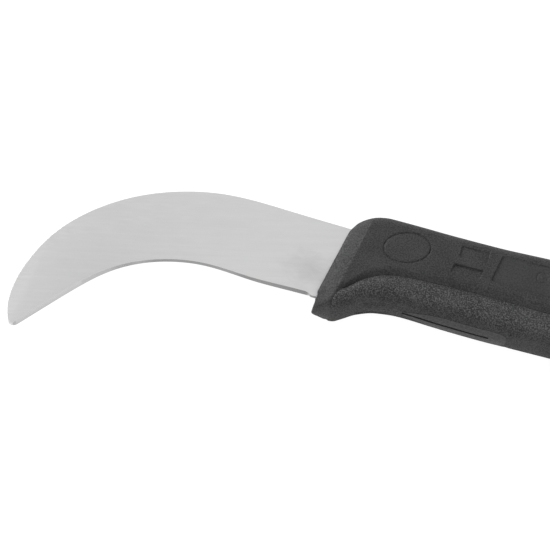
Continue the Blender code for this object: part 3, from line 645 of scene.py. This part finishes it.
def ramp(nt, value, stops):
    r = nt.nodes.new("ShaderNodeValToRGB")
    e = r.color_ramp.elements
    while len(e) > len(stops):
        e.remove(e[-1])
    while len(e) < len(stops):
        e.new(0.5)
    for el, (pos, col) in zip(e, stops):
        el.position = pos
        el.color = (*col, 1.0) if isinstance(col, tuple) else (col, col, col, 1.0)
    link(nt, value, r.inputs["Fac"])
    return r.outputs["Color"]


def math_node(nt, op, a, b):
    n = nt.nodes.new("ShaderNodeMath")
    n.operation = op
    for i, v in enumerate((a, b)):
        if isinstance(v, (int, float)):
            n.inputs[i].default_value = v
        else:
            link(nt, v, n.inputs[i])
    return n.outputs[0]


def bump(nt, height, strength, distance, normal=None):
    b = nt.nodes.new("ShaderNodeBump")
    b.inputs["Strength"].default_value = strength
    b.inputs["Distance"].default_value = distance
    link(nt, height, b.inputs["Height"])
    if normal is not None:
        link(nt, normal, b.inputs["Normal"])
    return b.outputs["Normal"]


def moulded_plastic(name, tone, spread, rough, grain_mm, depth_mm, glint_speck=0.0, specular=0.35):
    """Charcoal moulding with an eroded grain: fine pits, a slower tone drift, and on
    the grip coarse grains painted lighter as glints (painted highlight) and made glossier where the roll stands
    proudest."""
    m, nt, bsdf, coord = node_material(name)
    grain = noise(nt, coord, 1.0 / (grain_mm * MM), detail=2.0, rough=0.62)
    fine = noise(nt, coord, 2.6 / (grain_mm * MM), detail=2.0, rough=0.6)
    drift = noise(nt, coord, 110.0, detail=3.0, rough=0.55)
    mixed = math_node(nt, "ADD", math_node(nt, "MULTIPLY", grain, 0.60),
                      math_node(nt, "ADD", math_node(nt, "MULTIPLY", fine, 0.22), math_node(nt, "MULTIPLY", drift, 0.18)))
    stops = [(0.42, tone * (1 - spread)), (0.50, tone), (0.57, tone * (1 + 0.8 * spread))]
    base = ramp(nt, mixed, stops)
    dull = ramp(nt, grain, [(0.38, rough + 0.10), (0.62, rough - 0.10)])
    if glint_speck:
        # painted highlight: grain tops on the crests of the roll are painted lighter as glints, found by their distance
        # from the mid plane; there they are also made less rough
        split = nt.nodes.new("ShaderNodeSeparateXYZ")
        link(nt, coord, split.inputs[0])
        height = math_node(nt, "ABSOLUTE", math_node(nt, "SUBTRACT", split.outputs["Z"], 9.0 * MM), 0.0)
        crest = ramp(nt, math_node(nt, "MULTIPLY", height, 100.0), [(0.68, 0.10), (0.86, 1.0)])
        tops = ramp(nt, grain, [(0.535, 0.0), (0.585, 1.0)])
        painted_glints = math_node(nt, "MULTIPLY", crest, tops)
        mix = nt.nodes.new("ShaderNodeMix")
        mix.data_type = "RGBA"
        link(nt, painted_glints, mix.inputs[0])
        link(nt, base, mix.inputs[6])
        link(nt, ramp(nt, fine, [(0.40, tone * (1 + 0.6 * glint_speck)), (0.60, tone * (1 + 1.5 * glint_speck))]), mix.inputs[7])
        base = mix.outputs[2]
        dull = math_node(nt, "SUBTRACT", dull, math_node(nt, "MULTIPLY", painted_glints, 0.30))
    link(nt, base, bsdf.inputs["Base Color"])
    link(nt, dull, bsdf.inputs["Roughness"])
    normal = bump(nt, fine, 0.8, 0.35 * depth_mm * MM)
    normal = bump(nt, grain, 1.0, depth_mm * MM, normal)
    link(nt, normal, bsdf.inputs["Normal"])
    bsdf.inputs["Specular IOR Level"].default_value = specular
    return m


def times(nt, a, b):
    mix = nt.nodes.new("ShaderNodeMix")
    mix.data_type = "RGBA"
    mix.blend_type = "MULTIPLY"
    mix.inputs[0].default_value = 1.0
    link(nt, a, mix.inputs[6])
    link(nt, b, mix.inputs[7])
    return mix.outputs[2]


def brushed_steel(name, tone, rough, streak, along=0.0, far=0.0, painted_reflection=0.0, run_stops=None):
    """Satin steel with fine straight grinding lines; `far` darkens it away from the handle."""
    m, nt, bsdf, coord = node_material(name)
    turned_coord = mapping(nt, coord, rotation=(0, 0, -along))
    lines = mapping(nt, turned_coord, scale=(0.035, 1.0, 1.0))
    fine = noise(nt, lines, 5200.0, detail=3.0, rough=0.6)
    medium = noise(nt, lines, 900.0, detail=3.0, rough=0.6, distortion=0.3)
    cloud = noise(nt, mapping(nt, turned_coord, scale=(0.35, 1.0, 1.0)), 70.0, detail=3.0, rough=0.6)
    v = math_node(nt, "ADD", math_node(nt, "MULTIPLY", fine, 0.25),
                  math_node(nt, "ADD", math_node(nt, "MULTIPLY", medium, 0.35), math_node(nt, "MULTIPLY", cloud, 0.40)))
    colour = ramp(nt, v, [(0.38, tone - streak), (0.5, tone), (0.62, tone + streak)])
    split = nt.nodes.new("ShaderNodeSeparateXYZ")
    link(nt, coord, split.inputs[0])
    # 0 at the tip's end of the blade, 1 at the handle
    run = math_node(nt, "MULTIPLY", math_node(nt, "SUBTRACT", split.outputs["X"], float(ORIGIN[0]) - 84.2 * MM), 11.9)
    if far:
        colour = times(nt, colour, ramp(nt, run, [(0.0, 1.0 - 0.5 * far), (0.25, 1.0 - far), (0.75, 1.0), (1.0, 1.0)]))
    if run_stops:
        colour = times(nt, colour, ramp(nt, run, run_stops))
    if painted_reflection:
        # painted reflection and shade of the handle: the steel is painted darker in a mottled patch beside it
        mottle = noise(nt, mapping(nt, coord, scale=(0.5, 1.0, 1.0)), 420.0,
                       detail=4.0, rough=0.65, distortion=0.4)
        place = nt.nodes.new("ShaderNodeMapping")
        place.inputs["Location"].default_value = tuple(-to_row((-3.0, -6.5, 0.0)))
        link(nt, coord, place.inputs["Vector"])
        squash = mapping(nt, place.outputs["Vector"], scale=(58.0, 88.0, 0.0))
        far_off = nt.nodes.new("ShaderNodeVectorMath")
        far_off.operation = "LENGTH"
        link(nt, squash, far_off.inputs[0])
        uneven = math_node(nt, "ADD", far_off.outputs["Value"], math_node(nt, "MULTIPLY", mottle, 0.9))
        colour = times(nt, colour, ramp(nt, uneven, [(0.40, 1.0 - painted_reflection), (1.15, 1.0)]))
    link(nt, colour, bsdf.inputs["Base Color"])
    bsdf.inputs["Metallic"].default_value = 1.0
    link(nt, ramp(nt, fine, [(0.3, rough - 0.05), (0.7, rough + 0.07)]), bsdf.inputs["Roughness"])
    link(nt, bump(nt, fine, 0.12, 0.00002), bsdf.inputs["Normal"])
    return m


# ---------------------------------------------------------------------- build
shell_mat = moulded_plastic("shell_plastic", 0.034, 0.42, 0.66, 0.40, 0.05, specular=0.20)
smooth_mat = moulded_plastic("shell_plastic_smooth", 0.034, 0.22, 0.58, 0.50, 0.012, specular=0.20)
# the grip's plastic carries painted glints, lighter grain tops on the crests of its roll
grip_mat = moulded_plastic("grip_plastic", 0.044, 0.50, 0.76, 0.36, 0.12, glint_speck=1.0, specular=0.09)
# the blade's steel carries a painted reflection and shade of the handle, a darker patch beside the handle
steel_mat = brushed_steel("blade_steel", 0.60, 0.34, 0.018, along=0.22, far=0.06, painted_reflection=0.16)
# painted reflections and shade: the bevel is a copy of the steel painted darker through the middle of its run and
# lighter towards the tip and the heel, and the blade's edges are a darker copy of it, painted shade
bevel_mat = brushed_steel("blade_bevel", 0.70, 0.24, 0.03,
                          run_stops=[(0.30, 0.90), (0.44, 0.42), (0.62, 0.44), (0.80, 0.56), (0.96, 0.42), (1.0, 0.9)])
side_mat = brushed_steel("blade_edges", 0.38, 0.55, 0.03)
rivet_mat = brushed_steel("rivet_steel", 0.45, 0.42, 0.03)


def build_shell(name, side):
    def sided(shape):
        return shape if side > 0 else mirrored(shape)

    ob = make(name, *sided(shell_mesh()))
    tools = []

    def tool(label, shape, operation):
        t = make(name + "_" + label, *shape)
        tools.append(t)
        boolean(ob, t, operation)

    land = make(name + "_land", *sided(land_mesh()))
    island = make(name + "_island", *lens(-0.02))
    boolean(land, island, "INTERSECT")
    tools += [land, island]
    boolean(ob, land, "UNION")
    h = 0.5 * BLADE_THICK + 0.06
    room = offset_outline([(-9.0, BLADE_ROOT_Y[1])] + tang_outline()
                          + [(0.0, SPINE[0][1] + 0.02), (-9.0, SPINE[0][1] + 0.5)], 0.06)
    tool("room", prism(room, -h, h), "DIFFERENCE")
    tool("slot", prism([(SLOT_X[0], -30.0), (SLOT_X[1], -30.0), (SLOT_X[1], SLOT_TOP),
                        (SLOT_X[0], SLOT_TOP)], -SLOT_HALF, SLOT_HALF), "DIFFERENCE")
    step = RIVET_HALF - RIVET_HEAD_T - 0.3
    for i, (_, x, y) in enumerate(RIVETS):
        hole = turned([(RIVET_R + 0.3, -2.0), (RIVET_R + 0.3, step), (RIVET_HEAD_R + 0.3, step),
                       (RIVET_HEAD_R + 0.3, 5.7)], x, y)
        tool(f"rivet{i}", sided(hole), "DIFFERENCE")
    settle(ob, tools, 38.0)
    mesh = ob.data
    mesh.materials.clear()
    mesh.materials.append(shell_mat)
    mesh.materials.append(smooth_mat)
    # the floor of the large recess and the land in the belly window are smooth
    n = len(mesh.polygons)
    centre = np.zeros(n * 3)
    mesh.polygons.foreach_get("center", centre)
    c = (centre.reshape(-1, 3) - ORIGIN) / MM
    d = inside_of(PANEL, c[:, 0], c[:, 1], 0.30)
    floor = (d < -0.18) & (np.abs(c[:, 2]) > 8.0)
    land_faces = ((c[:, 0] > LENS_START) & (c[:, 0] < LENS_END) & (np.abs(c[:, 2]) < LENS_HALF)
                  & (c[:, 1] < belly_line(c[:, 0]) + 0.9))
    index = (floor | land_faces).astype(np.int32)
    mesh.polygons.foreach_set("material_index", index)
    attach(ob, "root")
    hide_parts(name)
    return ob


def build_saddle():
    ob = make("grip_saddle_fine", *saddle_mesh())
    window = make("saddle_window", *lens(0.0))
    boolean(ob, window, "DIFFERENCE")
    settle(ob, [window], 42.0)
    ob.data.materials.clear()
    ob.data.materials.append(grip_mat)
    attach(ob, "root")
    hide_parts("grip_saddle")
    return ob


def build_blade():
    verts, faces, kinds = blade_mesh()
    ob = make("blade_fine", verts, faces, 24.0)
    mesh = ob.data
    for m in (steel_mat, bevel_mat, side_mat):
        mesh.materials.append(m)
    if len(mesh.polygons) == len(kinds):
        mesh.polygons.foreach_set("material_index", np.array([{0: 0, 1: 1, 2: 2, 3: 1}[k] for k in kinds], np.int32))
    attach(ob, "root")
    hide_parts("blade")
    return ob


left = build_shell("body_shell_left", 1)
left.name = "body_shell_left_fine"
right = build_shell("body_shell_right", -1)
right.name = "body_shell_right_fine"
saddle = build_saddle()
blade = build_blade()

for rivet_name, _, _ in RIVETS:
    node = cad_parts[rivet_name]
    if node.data.materials:
        for i in range(len(node.data.materials)):
            node.data.materials[i] = rivet_mat
    else:
        node.data.materials.append(rivet_mat)

# ------------------------------------------------------------- floor and light
floor_mesh = bpy.data.meshes.new("floor")
e = 3.0
floor_mesh.from_pydata([(-e, -e, 0), (e, -e, 0), (e, e, 0), (-e, e, 0)], [], [(0, 1, 2, 3)])
floor = bpy.data.objects.new("floor", floor_mesh)
floor.location.z = -0.0001
bpy.context.scene.collection.objects.link(floor)
fm, fnt, fb, fc = node_material("floor_white")
link(fnt, ramp(fnt, noise(fnt, fc, 6.0, 2.0), [(0.3, 0.14), (0.7, 0.16)]), fb.inputs["Base Color"])
fb.inputs["Roughness"].default_value = 0.9
fb.inputs["Specular IOR Level"].default_value = 0.1
fb.inputs["Emission Color"].default_value = (1.0, 1.0, 1.0, 1.0)
fb.inputs["Emission Strength"].default_value = 0.93
floor_mesh.materials.append(fm)

scene = bpy.context.scene
world = bpy.data.worlds.new("studio")
world.use_nodes = True
wnt = world.node_tree
wc = wnt.nodes.new("ShaderNodeTexCoord")
wg = wnt.nodes.new("ShaderNodeVectorMath")
wg.operation = "DOT_PRODUCT"
wg.inputs[1].default_value = (-0.05, -0.28, 1.0)
wnt.links.new(wc.outputs["Generated"], wg.inputs[0])
wnt.links.new(ramp(wnt, wg.outputs["Value"], [(0.0, 0.40), (0.4, 0.70), (0.75, 0.94), (1.0, 1.0)]),
              wnt.nodes["Background"].inputs["Color"])
wnt.nodes["Background"].inputs["Strength"].default_value = 1.0
scene.world = world
scene.view_settings.view_transform = "Standard"
scene.view_settings.look = "None"
scene.view_settings.exposure = 0.0
scene.view_settings.gamma = 1.0

target = Vector(to_row((-13.0, -10.5, 0.0)).tolist())


def softbox(name, position, power, width, height):
    light = bpy.data.lights.new(name, "AREA")
    light.shape = "RECTANGLE"
    light.size, light.size_y = width, height
    light.energy = power
    ob = bpy.data.objects.new(name, light)
    ob.location = target + Vector(position)
    ob.rotation_euler = (-Vector(position)).to_track_quat("-Z", "Y").to_euler()
    scene.collection.objects.link(ob)
    return ob


softbox("key", (-0.98, 0.66, 0.68), 17.0, 0.7, 0.7)
softbox("fill", (-0.34, -0.26, 0.15), 0.30, 0.30, 0.30)

# --------------------------------------------------------------------- camera
ELEVATION, ROLL, DISTANCE = math.radians(70.0), math.radians(14.2), 0.80
r0 = Vector((1, 0, 0))
u0 = Vector((0, math.sin(ELEVATION), math.cos(ELEVATION)))
back = Vector((0, -math.cos(ELEVATION), math.sin(ELEVATION)))
right_axis = math.cos(ROLL) * r0 + math.sin(ROLL) * u0
up_axis = -math.sin(ROLL) * r0 + math.cos(ROLL) * u0
cam_data = bpy.data.cameras.new("camera")
cam_data.sensor_width = 36.0
cam_data.lens = 183.27
cam_data.clip_start, cam_data.clip_end = 0.01, 20.0
cam = bpy.data.objects.new("camera", cam_data)
m = Matrix((right_axis, up_axis, back)).transposed().to_4x4()
m.translation = target + back * DISTANCE
cam.matrix_world = m
scene.collection.objects.link(cam)
scene.camera = cam
